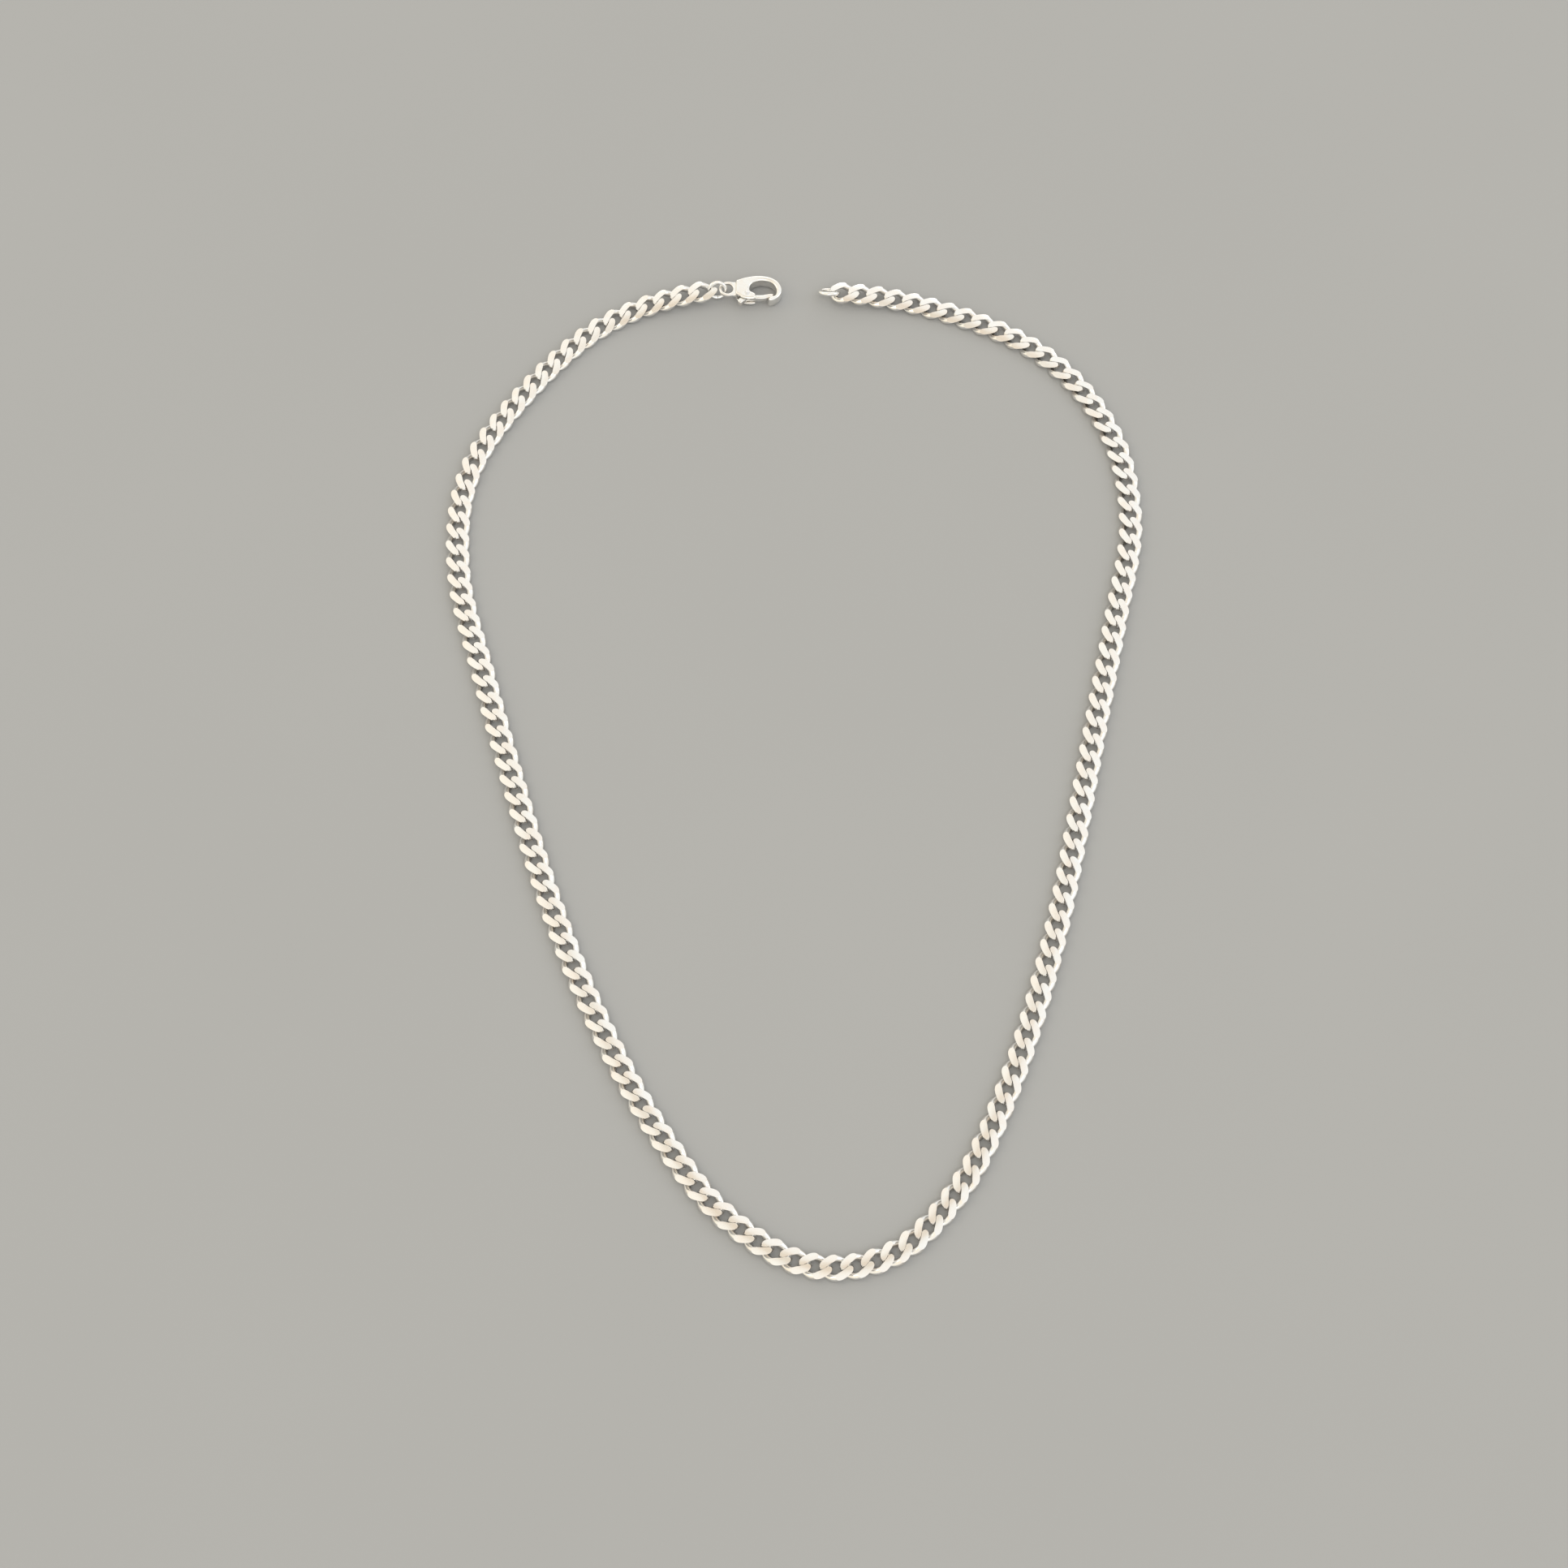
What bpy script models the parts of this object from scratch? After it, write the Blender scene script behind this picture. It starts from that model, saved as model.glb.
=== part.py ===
"""A flat curb chain necklace with a lobster clasp, laid out on the plane z = 0 with its clasp undone.

Every link is a ring of wire, twisted so that its two sides cross over those of its neighbours, and filed flat
on both faces. The chain follows ROUTE, a closed line that starts in the gap between the hook and the end ring
and runs to the left: clasp, jump ring, links, end ring. Links stand in rigid runs of three, and each run hinges
on the one before it. Metres, +Z up, origin under the middle of the outline.
"""

import math

import bmesh
import bpy
from mathutils import Matrix, Vector

MM = 0.001

# The chain
LINK_PITCH = 3.5 * MM
LINK_WIDTH = 4.4 * MM
CHAIN_THICKNESS = 1.4 * MM
CHAIN_LEVEL = 0.722 * MM  # middle of the chain above the surface it lies on
WIRE_WIDTH = 1.0 * MM
WIRE_HEIGHT = 0.7 * MM
END_GAP = 0.3 * MM  # between the wires of two links where they bear on each other
TWIST = math.radians(-55)  # roll of a link's leading end; its other end rolls the other way
LINK_STATIONS = 10
LINKS_PER_RUN = 3
RUN_COUNT = 46
ROOT_RUN = 23  # the run at the bottom of the U, which every other run hangs from
WELD_SIZE = (0.8 * MM, 0.3 * MM, 0.3 * MM)  # joins two links of one run

# The route of the chain's middle line, in millimetres
ROUTE = (
    (0, 96.0), (-19, 95.5), (-37, 88.5), (-52, 72.5), (-61.5, 55.0), (-62.3, 34.5),
    (-56.8, 13.5), (-50.8, -7), (-45.2, -25), (-39, -42), (-31.5, -58.5), (-23, -73.5),
    (-12.3, -87.3), (2.0, -96), (16.5, -94), (28, -82.3), (35.8, -66.5), (41.7, -50),
    (46.6, -32.5), (50.7, -14), (54.7, 5), (59, 25), (62.8, 45.5), (59.5, 65.5), (47, 82.5), (25, 93),
)
STEPS_PER_SPAN = 40
HOOK_START = 2.5 * MM  # the hook's nose, along the route from its start
END_RISE = 21 * MM  # the length over which each end of the chain rises to its ring
END_HEIGHT = 1.75 * MM  # middle of the rings and of the clasp's eye

# The rings
JUMP_RING_RADIUS = 1.6 * MM
JUMP_RING_WIRE = 0.35 * MM
JUMP_RING_ROLL = math.radians(-60)
END_RING_RADIUS = 1.9 * MM
END_RING_WIRE = 0.4 * MM
END_RING_ROLL = math.radians(44.6)
RING_SEGMENTS = (18, 6)

# The clasp, with +X to its nose
CLASP_THICKNESS = 2.4 * MM
CLASP_PITCH = math.radians(2.95)
CLASP_BEVEL = 0.25 * MM
EYE_CENTRE = -4.7 * MM
EYE_RADIUS = 1.65 * MM
EYE_HOLE = 1.1 * MM
EYE_THICKNESS = 0.7 * MM
TAIL_WIDTH = 6 * MM  # of the cuts that thin the eye's end
EYE_CLEARANCE = 0.4 * MM
NOSE_REACH = 5.8 * MM  # from the clasp's middle to its nose
BODY_OUTLINE = (
    (0.7, -2.5), (-1.4, -2.55), (-3.2, -1.55), (-4.7, -1.65), (-5.9, -1.15), (-6.35, 0),
    (-5.9, 1.15), (-4.7, 1.65), (-3.2, 1.6), (-1.2, 2.35), (1, 2.8), (3.2, 2.65),
    (4.9, 1.8), (5.8, 0.4), (5.8, -1), (5.1, -2.1), (4.1, -2.75), (3.3, -2.7),
    (3.5, -1.95), (4.5, -1.55), (4.75, -0.5), (4.4, 0.6), (3.5, 1.4), (2, 1.65),
    (0.6, 1.3), (-0.2, 0.5), (-0.3, -0.7), (0.7, -1.3),
)
PIVOT = (-0.9, -1.4)
PIN_RADIUS = 0.34 * MM
PIN_LENGTH = 2.3 * MM
PIN_HOLE = 0.42 * MM
LEVER_THICKNESS = 1.2 * MM
NUB_THICKNESS = 1.176 * MM
HUB_THICKNESS = 1.152 * MM
HUB_RADIUS = 0.85 * MM
GATE_OUTLINE = (
    (-1.1, -2.1), (0.6, -2.2), (2.4, -2.15), (3.3, -1.85), (4.2, -1.4), (4.15, -0.95),
    (3.4, -0.95), (2.2, -1.25), (0.6, -1.3), (-0.9, -0.8),
)
NUB_OUTLINE = (
    (-1.2, -0.9), (-1.9, -1.5), (-2.6, -2.7), (-2.35, -3.2), (-1.9, -3.3), (-1.55, -2.9), (-0.7, -2.1),
)
SLOT_OUTLINE = (
    (-2.3, -0.1), (-2.9, -1.9), (-3.1, -3.6), (1.2, -3.6), (1.2, -0.2), (-0.1, -0.1),
)
SLOT_HEIGHT = 1.45 * MM
SPRING_RADIUS = 0.6 * MM
SPRING_WIRE = 0.08 * MM
SPRING_TURNS = 1.25
SPRING_STEPS_PER_TURN = 12
SPRING_HEIGHT = 0.25 * MM
SPRING_SHELF = 0.42 * MM  # level of the spring, above the clasp's middle
SHELF_RADIUS = 1.02 * MM

STERLING = ((0.86, 0.85, 0.83), 0.14)
RHODIUM = ((0.80, 0.80, 0.81), 0.22)
SPRING_STEEL = ((0.50, 0.50, 0.52), 0.35)


# Scene and helpers

def clear_scene():
    for obj in list(bpy.data.objects):
        bpy.data.objects.remove(obj, do_unlink=True)


def collection(name):
    made = bpy.data.collections.new(name)
    bpy.context.scene.collection.children.link(made)
    return made


def metal(name, finish):
    colour, roughness = finish
    made = bpy.data.materials.new(name)
    made.use_nodes = True
    shader = made.node_tree.nodes["Principled BSDF"]
    shader.inputs["Base Color"].default_value = (*colour, 1)
    shader.inputs["Metallic"].default_value = 1
    shader.inputs["Roughness"].default_value = roughness
    return made


def mesh_object(name, mesh, group):
    made = bpy.data.objects.new(name, mesh)
    group.objects.link(made)
    return made


def as_cutter(obj):
    obj.hide_render = True
    obj.display_type = "WIRE"
    return obj


def add_boolean(obj, other, operation):
    made = obj.modifiers.new(other.name, "BOOLEAN")
    made.operation = operation
    made.solver = "EXACT"
    made.object = other


def applied(obj):
    """The object's evaluated mesh, as a mesh of its own."""
    bpy.context.view_layer.update()
    return bpy.data.meshes.new_from_object(obj.evaluated_get(bpy.context.evaluated_depsgraph_get()))


def finish(obj, material):
    obj.data.materials.clear()
    obj.data.materials.append(material)
    obj.data.shade_smooth()
    obj.data.set_sharp_from_angle(angle=math.radians(40))


# The route

def route_points():
    """Closely spaced points round the closed route, from a Catmull-Rom curve, and the distance to each."""
    knots = [Vector((x * MM, y * MM)) for x, y in ROUTE]
    points = []
    for i, start in enumerate(knots):
        before, after, beyond = knots[i - 1], knots[(i + 1) % len(knots)], knots[(i + 2) % len(knots)]
        for step in range(STEPS_PER_SPAN):
            t = step / STEPS_PER_SPAN
            points.append(0.5 * (
                2 * start + (after - before) * t
                + (2 * before - 5 * start + 4 * after - beyond) * t ** 2
                + (3 * start - before - 3 * after + beyond) * t ** 3
            ))
    points.append(points[0])
    distances = [0.0]
    for a, b in zip(points, points[1:]):
        distances.append(distances[-1] + (b - a).length)
    return points, distances


def along(route, distance):
    """The point of the route at a distance from its start."""
    points, distances = route
    for i in range(1, len(points)):
        if distances[i] >= distance:
            share = (distance - distances[i - 1]) / (distances[i] - distances[i - 1])
            return points[i - 1].lerp(points[i], share)
    return points[-1]


def height(from_end):
    """Height of the chain's middle line at a distance from the nearer end of the chain."""
    share = min(max(1 - from_end / END_RISE, 0), 1)
    return CHAIN_LEVEL + (END_HEIGHT - CHAIN_LEVEL) * share * share * (3 - 2 * share)


def aimed(start, end):
    """Frame with its origin at start and +X towards end; its +Y stays level."""
    x = (end - start).normalized()
    y = Vector((0, 0, 1)).cross(x).normalized()
    z = x.cross(y)
    made = Matrix((x, y, z)).transposed().to_4x4()
    made.translation = start
    return made


def shifted(frame, x):
    return frame @ Matrix.Translation((x, 0, 0))


# The chain

def link_mesh():
    """One link, centred on the origin along X: a loop of wire whose roll turns from one end to the other, with
    a section that the two filed faces cut back."""
    half_length = (LINK_PITCH + WIRE_WIDTH + END_GAP) / 2
    half_width = (LINK_WIDTH - WIRE_WIDTH) / 2
    face = CHAIN_THICKNESS / 2
    bm = bmesh.new()
    rings = []
    for i in range(LINK_STATIONS):
        t = 2 * math.pi * (i + 0.5) / LINK_STATIONS
        roll = TWIST * math.cos(t)
        middle = Vector((
            half_length * math.cos(t),
            half_width * math.sin(t) * math.cos(roll),
            half_width * math.sin(t) * math.sin(roll),
        ))
        outward = Vector((half_width * math.cos(t), half_length * math.sin(t), 0)).normalized()
        section = []
        for side, level in ((1, 1), (-1, 1), (-1, -1), (1, -1)):
            corner = middle + outward * side * WIRE_WIDTH / 2
            corner.z = min(max(middle.z + level * WIRE_HEIGHT / 2, -face), face)
            section.append(bm.verts.new(corner))
        rings.append(section)
    for i, section in enumerate(rings):
        following = rings[(i + 1) % LINK_STATIONS]
        for k in range(4):
            bm.faces.new((section[k], following[k], following[(k + 1) % 4], section[(k + 1) % 4]))
    bmesh.ops.recalc_face_normals(bm, faces=bm.faces)
    mesh = bpy.data.meshes.new("link")
    bm.to_mesh(mesh)
    bm.free()
    return mesh


def weld_mesh():
    bm = bmesh.new()
    bmesh.ops.create_cube(bm, size=1, matrix=Matrix.Diagonal((*WELD_SIZE, 1)))
    mesh = bpy.data.meshes.new("weld")
    bm.to_mesh(mesh)
    bm.free()
    return mesh


def link_frames(joints):
    """A frame for each link, halfway between the points where it bears on its neighbours."""
    return [shifted(aimed(a, b), (b - a).length / 2) for a, b in zip(joints, joints[1:])]


def build_run(name, frames, welds, link, weld, groups, material):
    """A run of links, fused where they bear on each other, in world space."""
    main, cutters = groups
    run = mesh_object(name, link.copy(), main)
    run.matrix_world = frames[0]
    others = [(link, frame) for frame in frames[1:]] + [(weld, frame) for frame in welds]
    helpers = []
    for i, (mesh, frame) in enumerate(others):
        helper = as_cutter(mesh_object(f"{name}_piece_{i}", mesh, cutters))
        helper.matrix_world = frame
        add_boolean(run, helper, "UNION")
        helpers.append(helper)
    mesh = applied(run)
    mesh.transform(run.matrix_world)
    run.modifiers.clear()
    run.data = mesh
    run.matrix_world = Matrix.Identity(4)
    for helper in helpers:
        bpy.data.objects.remove(helper)
    finish(run, material)
    return run


def hang(obj, origin, parent, origins):
    """Puts the object's origin on its hinge and parents it to the piece that it hinges on."""
    origins[obj.name] = origin
    obj.data.transform(Matrix.Translation(-origin))
    if parent is None:
        obj.location = origin
        return
    obj.parent = parent
    obj.location = origin - origins.get(parent.name, Vector())


def build_chain(joints, groups, material, origins):
    """The runs, from the clasp's end to the ring's end, each hung on its neighbour nearer the root."""
    link, weld = link_mesh(), weld_mesh()
    frames = link_frames(joints)
    runs = []
    for n in range(RUN_COUNT):
        first = n * LINKS_PER_RUN
        members = frames[first:first + LINKS_PER_RUN]
        welds = []
        for k in range(first + 1, first + LINKS_PER_RUN):
            weld_frame = aimed(joints[k - 1], joints[k + 1])
            weld_frame.translation = joints[k]
            welds.append(weld_frame)
        runs.append(build_run(f"chain_run_{n + 1:02d}", members, welds, link, weld, groups, material))
    root = ROOT_RUN - 1
    hang(runs[root], joints[root * LINKS_PER_RUN], None, origins)
    for n in range(root - 1, -1, -1):
        hang(runs[n], joints[(n + 1) * LINKS_PER_RUN], runs[n + 1], origins)
    for n in range(root + 1, RUN_COUNT):
        hang(runs[n], joints[n * LINKS_PER_RUN], runs[n - 1], origins)
    return runs


# Rings and clasp

def build_ring(name, frame, radius, wire, roll, material, group):
    """A closed wire ring round the frame's origin, with the frame's +X in its plane."""
    bpy.ops.mesh.primitive_torus_add(
        major_radius=radius, minor_radius=wire, major_segments=RING_SEGMENTS[0], minor_segments=RING_SEGMENTS[1]
    )
    ring = bpy.context.active_object
    ring.name = name
    for owner in list(ring.users_collection):
        owner.objects.unlink(ring)
    group.objects.link(ring)
    ring.data.transform(frame @ Matrix.Rotation(roll, 4, "X"))
    finish(ring, material)
    return ring


def plate(name, outline, thickness, group):
    """A flat piece from a closed outline in millimetres, as a mesh, centred on z = 0."""
    curve = bpy.data.curves.new(name, "CURVE")
    curve.dimensions = "2D"
    curve.fill_mode = "BOTH"
    curve.extrude = thickness / 2
    spline = curve.splines.new("POLY")
    spline.points.add(len(outline) - 1)
    for point, (x, y) in zip(spline.points, outline):
        point.co = (x * MM, y * MM, 0, 1)
    spline.use_cyclic_u = True
    drawn = bpy.data.objects.new(name + "_outline", curve)
    group.objects.link(drawn)
    mesh = applied(drawn)
    bpy.data.objects.remove(drawn)
    bm = bmesh.new()
    bm.from_mesh(mesh)
    bmesh.ops.remove_doubles(bm, verts=bm.verts, dist=0.001 * MM)
    bmesh.ops.dissolve_limit(bm, angle_limit=math.radians(1), verts=bm.verts, edges=bm.edges)
    bmesh.ops.recalc_face_normals(bm, faces=bm.faces)
    bm.to_mesh(mesh)
    bm.free()
    return mesh_object(name, mesh, group)


def rod(name, radius, length, place, group, sides=16):
    """A round bar along Z through a point in millimetres."""
    bm = bmesh.new()
    bmesh.ops.create_cone(
        bm, cap_ends=True, segments=sides, radius1=radius, radius2=radius, depth=length,
        matrix=Matrix.Translation((place[0] * MM, place[1] * MM, 0)),
    )
    mesh = bpy.data.meshes.new(name)
    bm.to_mesh(mesh)
    bm.free()
    return mesh_object(name, mesh, group)


def slab(name, low, high, group):
    """A box between two corners."""
    low, high = Vector(low), Vector(high)
    bm = bmesh.new()
    bmesh.ops.create_cube(
        bm, size=1, matrix=Matrix.Translation((low + high) / 2) @ Matrix.Diagonal((*(high - low), 1))
    )
    mesh = bpy.data.meshes.new(name)
    bm.to_mesh(mesh)
    bm.free()
    return mesh_object(name, mesh, group)


def settle(obj, frame, material, helpers=()):
    """Applies the object's modifiers, carries its mesh into world space and drops the helpers."""
    mesh = applied(obj)
    mesh.transform(frame)
    obj.modifiers.clear()
    obj.data = mesh
    for helper in helpers:
        bpy.data.objects.remove(helper)
    finish(obj, material)
    return obj


def build_clasp_body(frame, groups, material):
    """Hook, back rib and eye in one casting, with a slot for the lever and a thin tail round the eye."""
    main, cutters = groups
    body = plate("clasp_body", BODY_OUTLINE, CLASP_THICKNESS, main)
    round_off = body.modifiers.new("rounded edges", "BEVEL")
    round_off.width = CLASP_BEVEL
    round_off.segments = 2
    round_off.limit_method = "ANGLE"
    round_off.angle_limit = math.radians(60)
    tail = (EYE_CENTRE - 2 * EYE_RADIUS, -TAIL_WIDTH / 2), (EYE_CENTRE + EYE_RADIUS, TAIL_WIDTH / 2)
    above = slab("above_eye", (*tail[0], EYE_THICKNESS / 2), (*tail[1], CLASP_THICKNESS), cutters)
    below = slab("below_eye", (*tail[0], -CLASP_THICKNESS), (*tail[1], -EYE_THICKNESS / 2), cutters)
    eye = rod("eye_hole", EYE_HOLE, CLASP_THICKNESS * 2, (EYE_CENTRE / MM, 0), cutters)
    slot = plate("lever_slot", SLOT_OUTLINE, SLOT_HEIGHT, cutters)
    bore = rod("pin_bore", PIN_HOLE, CLASP_THICKNESS * 2, PIVOT, cutters)
    helpers = [as_cutter(cutter) for cutter in (above, below, eye, slot, bore)]
    for cutter in helpers:
        add_boolean(body, cutter, "DIFFERENCE")
    return settle(body, frame, material, helpers)


def build_lever(frame, groups, material):
    """Gate, hub and thumb nub in one plate, with the bore that turns on the pin."""
    main, cutters = groups
    lever = plate("clasp_lever", GATE_OUTLINE, LEVER_THICKNESS, main)
    nub = plate("thumb_nub", NUB_OUTLINE, NUB_THICKNESS, cutters)
    hub = rod("hub", HUB_RADIUS, HUB_THICKNESS, PIVOT, cutters)
    bore = rod("lever_bore", PIN_HOLE, CLASP_THICKNESS * 2, PIVOT, cutters)
    shelf = rod("spring_shelf", SHELF_RADIUS, LEVER_THICKNESS, PIVOT, cutters)
    shelf.location.z = SPRING_SHELF + LEVER_THICKNESS / 4
    helpers = [as_cutter(helper) for helper in (nub, hub, bore, shelf)]
    add_boolean(lever, nub, "UNION")
    add_boolean(lever, hub, "UNION")
    add_boolean(lever, bore, "DIFFERENCE")
    add_boolean(lever, shelf, "DIFFERENCE")
    return settle(lever, frame, material, helpers)


def build_spring(frame, groups, material):
    """The coil round the pin, between the lever's hub and the upper cheek."""
    main, _ = groups
    curve = bpy.data.curves.new("clasp_spring", "CURVE")
    curve.dimensions = "3D"
    curve.bevel_depth = SPRING_WIRE
    curve.bevel_resolution = 1
    curve.use_fill_caps = True
    steps = round(SPRING_TURNS * SPRING_STEPS_PER_TURN)
    spline = curve.splines.new("POLY")
    spline.points.add(steps)
    for i, point in enumerate(spline.points):
        turn = 2 * math.pi * SPRING_TURNS * i / steps
        x = PIVOT[0] * MM + SPRING_RADIUS * math.cos(turn)
        y = PIVOT[1] * MM + SPRING_RADIUS * math.sin(turn)
        z = SPRING_SHELF + SPRING_HEIGHT * (i / steps - 0.5)
        point.co = (x, y, z, 1)
    drawn = bpy.data.objects.new("spring_line", curve)
    main.objects.link(drawn)
    mesh = applied(drawn)
    bpy.data.objects.remove(drawn)
    bm = bmesh.new()
    bm.from_mesh(mesh)
    bmesh.ops.remove_doubles(bm, verts=bm.verts, dist=0.001 * MM)
    bm.to_mesh(mesh)
    bm.free()
    spring = mesh_object("clasp_spring", mesh, main)
    mesh.transform(frame)
    finish(spring, material)
    return spring


def clasp_placed(route, eye):
    """The clasp's frame: eye on the route, +X to the nose, pitched so that the nose comes down to the surface."""
    eye_point = raised(route, eye, END_HEIGHT)
    frame = aimed(eye_point, raised(route, HOOK_START, END_HEIGHT))
    return shifted(frame @ Matrix.Rotation(CLASP_PITCH, 4, "Y"), -EYE_CENTRE)


def eye_bearing(route, eye):
    """Where the clasp's eye bears on the jump ring."""
    return raised(route, eye + EYE_HOLE, END_HEIGHT)


# The necklace

def places():
    """Route distances of the clasp's eye, the jump ring, the start of the chain and the end ring."""
    eye = HOOK_START + NOSE_REACH - EYE_CENTRE
    jump_ring = eye + EYE_HOLE - EYE_CLEARANCE + JUMP_RING_RADIUS - JUMP_RING_WIRE
    first = jump_ring + JUMP_RING_RADIUS - JUMP_RING_WIRE - END_GAP / 2
    last = first + LINK_PITCH * LINKS_PER_RUN * RUN_COUNT
    end_ring = last + END_RING_RADIUS - END_RING_WIRE - END_GAP / 2
    return eye, jump_ring, first, end_ring


def raised(route, distance, z):
    x, y = along(route, distance)
    return Vector((x, y, z))


def chain_points(route, first):
    """The points where the links bear on each other, with both ends of the chain rising to their rings."""
    count = LINKS_PER_RUN * RUN_COUNT
    return [
        raised(route, first + i * LINK_PITCH, height(min(i, count - i) * LINK_PITCH))
        for i in range(count + 1)
    ]


def ring_frame(route, distance):
    """A level frame at a distance along the route, with +X along it."""
    ahead = raised(route, distance + MM, END_HEIGHT)
    made = aimed(raised(route, distance - MM, END_HEIGHT), ahead)
    made.translation = raised(route, distance, END_HEIGHT)
    return made


def main():
    clear_scene()
    groups = collection("chain_necklace"), collection("cutters")
    groups[1].hide_render = True
    sterling = metal("sterling_silver", STERLING)
    rhodium = metal("rhodium_pin", RHODIUM)
    steel = metal("spring_steel", SPRING_STEEL)
    route = route_points()
    eye, jump_ring, first, end_ring = places()
    points = chain_points(route, first)
    origins = {}
    runs = build_chain(points, groups, sterling, origins)

    jump_frame = ring_frame(route, jump_ring)
    jump = build_ring("jump_ring", jump_frame, JUMP_RING_RADIUS, JUMP_RING_WIRE, JUMP_RING_ROLL, sterling, groups[0])
    hang(jump, points[0], runs[0], origins)
    end_frame = ring_frame(route, end_ring)
    end = build_ring("end_ring", end_frame, END_RING_RADIUS, END_RING_WIRE, END_RING_ROLL, sterling, groups[0])
    hang(end, points[-1], runs[-1], origins)

    clasp_frame = clasp_placed(route, eye)
    body = build_clasp_body(clasp_frame, groups, sterling)
    lever = build_lever(clasp_frame, groups, sterling)
    pin = settle(rod("clasp_pivot_pin", PIN_RADIUS, PIN_LENGTH, PIVOT, groups[0]), clasp_frame, rhodium)
    spring = build_spring(clasp_frame, groups, steel)
    hang(body, eye_bearing(route, eye), jump, origins)
    for piece in (lever, pin, spring):
        hang(piece, clasp_frame @ Vector((PIVOT[0] * MM, PIVOT[1] * MM, 0)), body, origins)


main()
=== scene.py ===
import math
import random

import bmesh
import bpy
from mathutils import Matrix, Vector


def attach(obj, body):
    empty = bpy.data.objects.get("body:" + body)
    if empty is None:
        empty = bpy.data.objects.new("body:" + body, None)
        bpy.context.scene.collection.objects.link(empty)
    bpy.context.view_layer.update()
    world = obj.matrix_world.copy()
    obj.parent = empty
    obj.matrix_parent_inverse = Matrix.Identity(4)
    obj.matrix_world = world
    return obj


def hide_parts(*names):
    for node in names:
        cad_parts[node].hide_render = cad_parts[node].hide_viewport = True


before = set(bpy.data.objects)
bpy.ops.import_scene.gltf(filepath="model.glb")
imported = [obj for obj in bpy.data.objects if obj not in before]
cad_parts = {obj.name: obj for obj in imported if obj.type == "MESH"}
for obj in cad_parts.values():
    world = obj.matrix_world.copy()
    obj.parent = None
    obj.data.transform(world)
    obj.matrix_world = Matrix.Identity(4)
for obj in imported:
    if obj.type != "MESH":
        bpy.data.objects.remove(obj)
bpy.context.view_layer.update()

# A flat curb chain necklace with a lobster clasp. Lengths are in millimetres until a piece is put in place.
MM = 0.001

# The chain, as the CAD lays it out. The route starts at the clasp's end, and its ends rise to their rings.
LINK_PITCH = 3.5
CHAIN_THICKNESS = 1.4
CHAIN_LEVEL = 0.722
END_GAP = 0.3
LINKS_PER_RUN = 3
RUN_COUNT = 46
ROUTE = (
    (0, 96.0), (-19, 95.5), (-37, 88.5), (-52, 72.5), (-61.5, 55.0), (-62.3, 34.5),
    (-56.8, 13.5), (-50.8, -7), (-45.2, -25), (-39, -42), (-31.5, -58.5), (-23, -73.5),
    (-12.3, -87.3), (2.0, -96), (16.5, -94), (28, -82.3), (35.8, -66.5), (41.7, -50),
    (46.6, -32.5), (50.7, -14), (54.7, 5), (59, 25), (62.8, 45.5), (59.5, 65.5), (47, 82.5), (25, 93),
)
STEPS_PER_SPAN = 40
HOOK_START = 2.5
END_RISE = 21
END_HEIGHT = 1.75

# Points nearer than this become one
WELD = 0.001

# The wire of a link
WIRE = 1.2
HALF_LENGTH = 2.4
HALF_WIDTH = 1.6
TWIST = math.radians(-55)
SIDE_SPREAD = 0.12
LINK_STATIONS = 72
WIRE_SIDES = 20
EDGE_ROUNDING = 0.08
EDGE_ANGLE = math.radians(24)
SMOOTH_ANGLE = math.radians(50)
FLAT_WEIGHT = 90
CROWN_RADIUS = 9.5
SLAB_REACH = 3.2
SLAB_STRIPS = 32
SLIVER = 0.004
# Each link's own small roll, drawn in the order of the links
LINK_PLAY = math.radians(2)
PLAY_SEED = 138

# The rings
FITTING_SMOOTH_ANGLE = math.radians(35)
JUMP_RING_RADIUS = 1.6
JUMP_RING_WIRE = 0.35
JUMP_RING_ROLL = math.radians(-60)
END_RING_RADIUS = 1.9
END_RING_WIRE = 0.4
END_RING_ROLL = math.radians(44.6)
RING_STEPS = 96
RING_SIDES = 24
SEAM_GAP = 0.05
SEAM_ROUNDING = 0.03
SEAM_ANGLE = math.radians(60)
SOLDER_SWELL = 0.08
SOLDER_SPREAD = 0.16

# The clasp, with +X to its nose
OUTLINE_STEPS = 8
CLASP_THICKNESS = 2.4
CLASP_ROUNDING = 0.42
CLASP_REACH = 3
# How castings are softened: voxel size and rounds of smoothing
BODY_CAST = (0.09, 12)
LEVER_CAST = (0.07, 9)
CAST_SMOOTHING = 0.5
CLASP_PITCH = math.radians(2.95)
EYE_CENTRE = -4.7
EYE_RADIUS = 1.65
EYE_HOLE = 1.1
EYE_THICKNESS = 0.7
EYE_CLEARANCE = 0.4
NOSE_REACH = 5.8
BODY_OUTLINE = (
    (0.7, -2.5), (-1.4, -2.55), (-3.2, -1.55), (-4.7, -1.65), (-5.9, -1.15), (-6.35, 0),
    (-5.9, 1.15), (-4.7, 1.65), (-3.2, 1.6), (-1.2, 2.35), (1, 2.8), (3.2, 2.65),
    (4.9, 1.8), (5.8, 0.4), (5.8, -1), (5.1, -2.1), (4.1, -2.75), (3.3, -2.7),
    (3.5, -1.95), (4.5, -1.55), (4.75, -0.5), (4.4, 0.6), (3.5, 1.4), (2, 1.65),
    (0.6, 1.3), (-0.2, 0.5), (-0.3, -0.7), (0.7, -1.3),
)
GATE_OUTLINE = (
    (-1.1, -2.1), (0.6, -2.2), (2.4, -2.15), (3.3, -1.85), (4.2, -1.4), (4.15, -0.95),
    (3.4, -0.95), (2.2, -1.25), (0.6, -1.3), (-0.9, -0.8),
)
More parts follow.
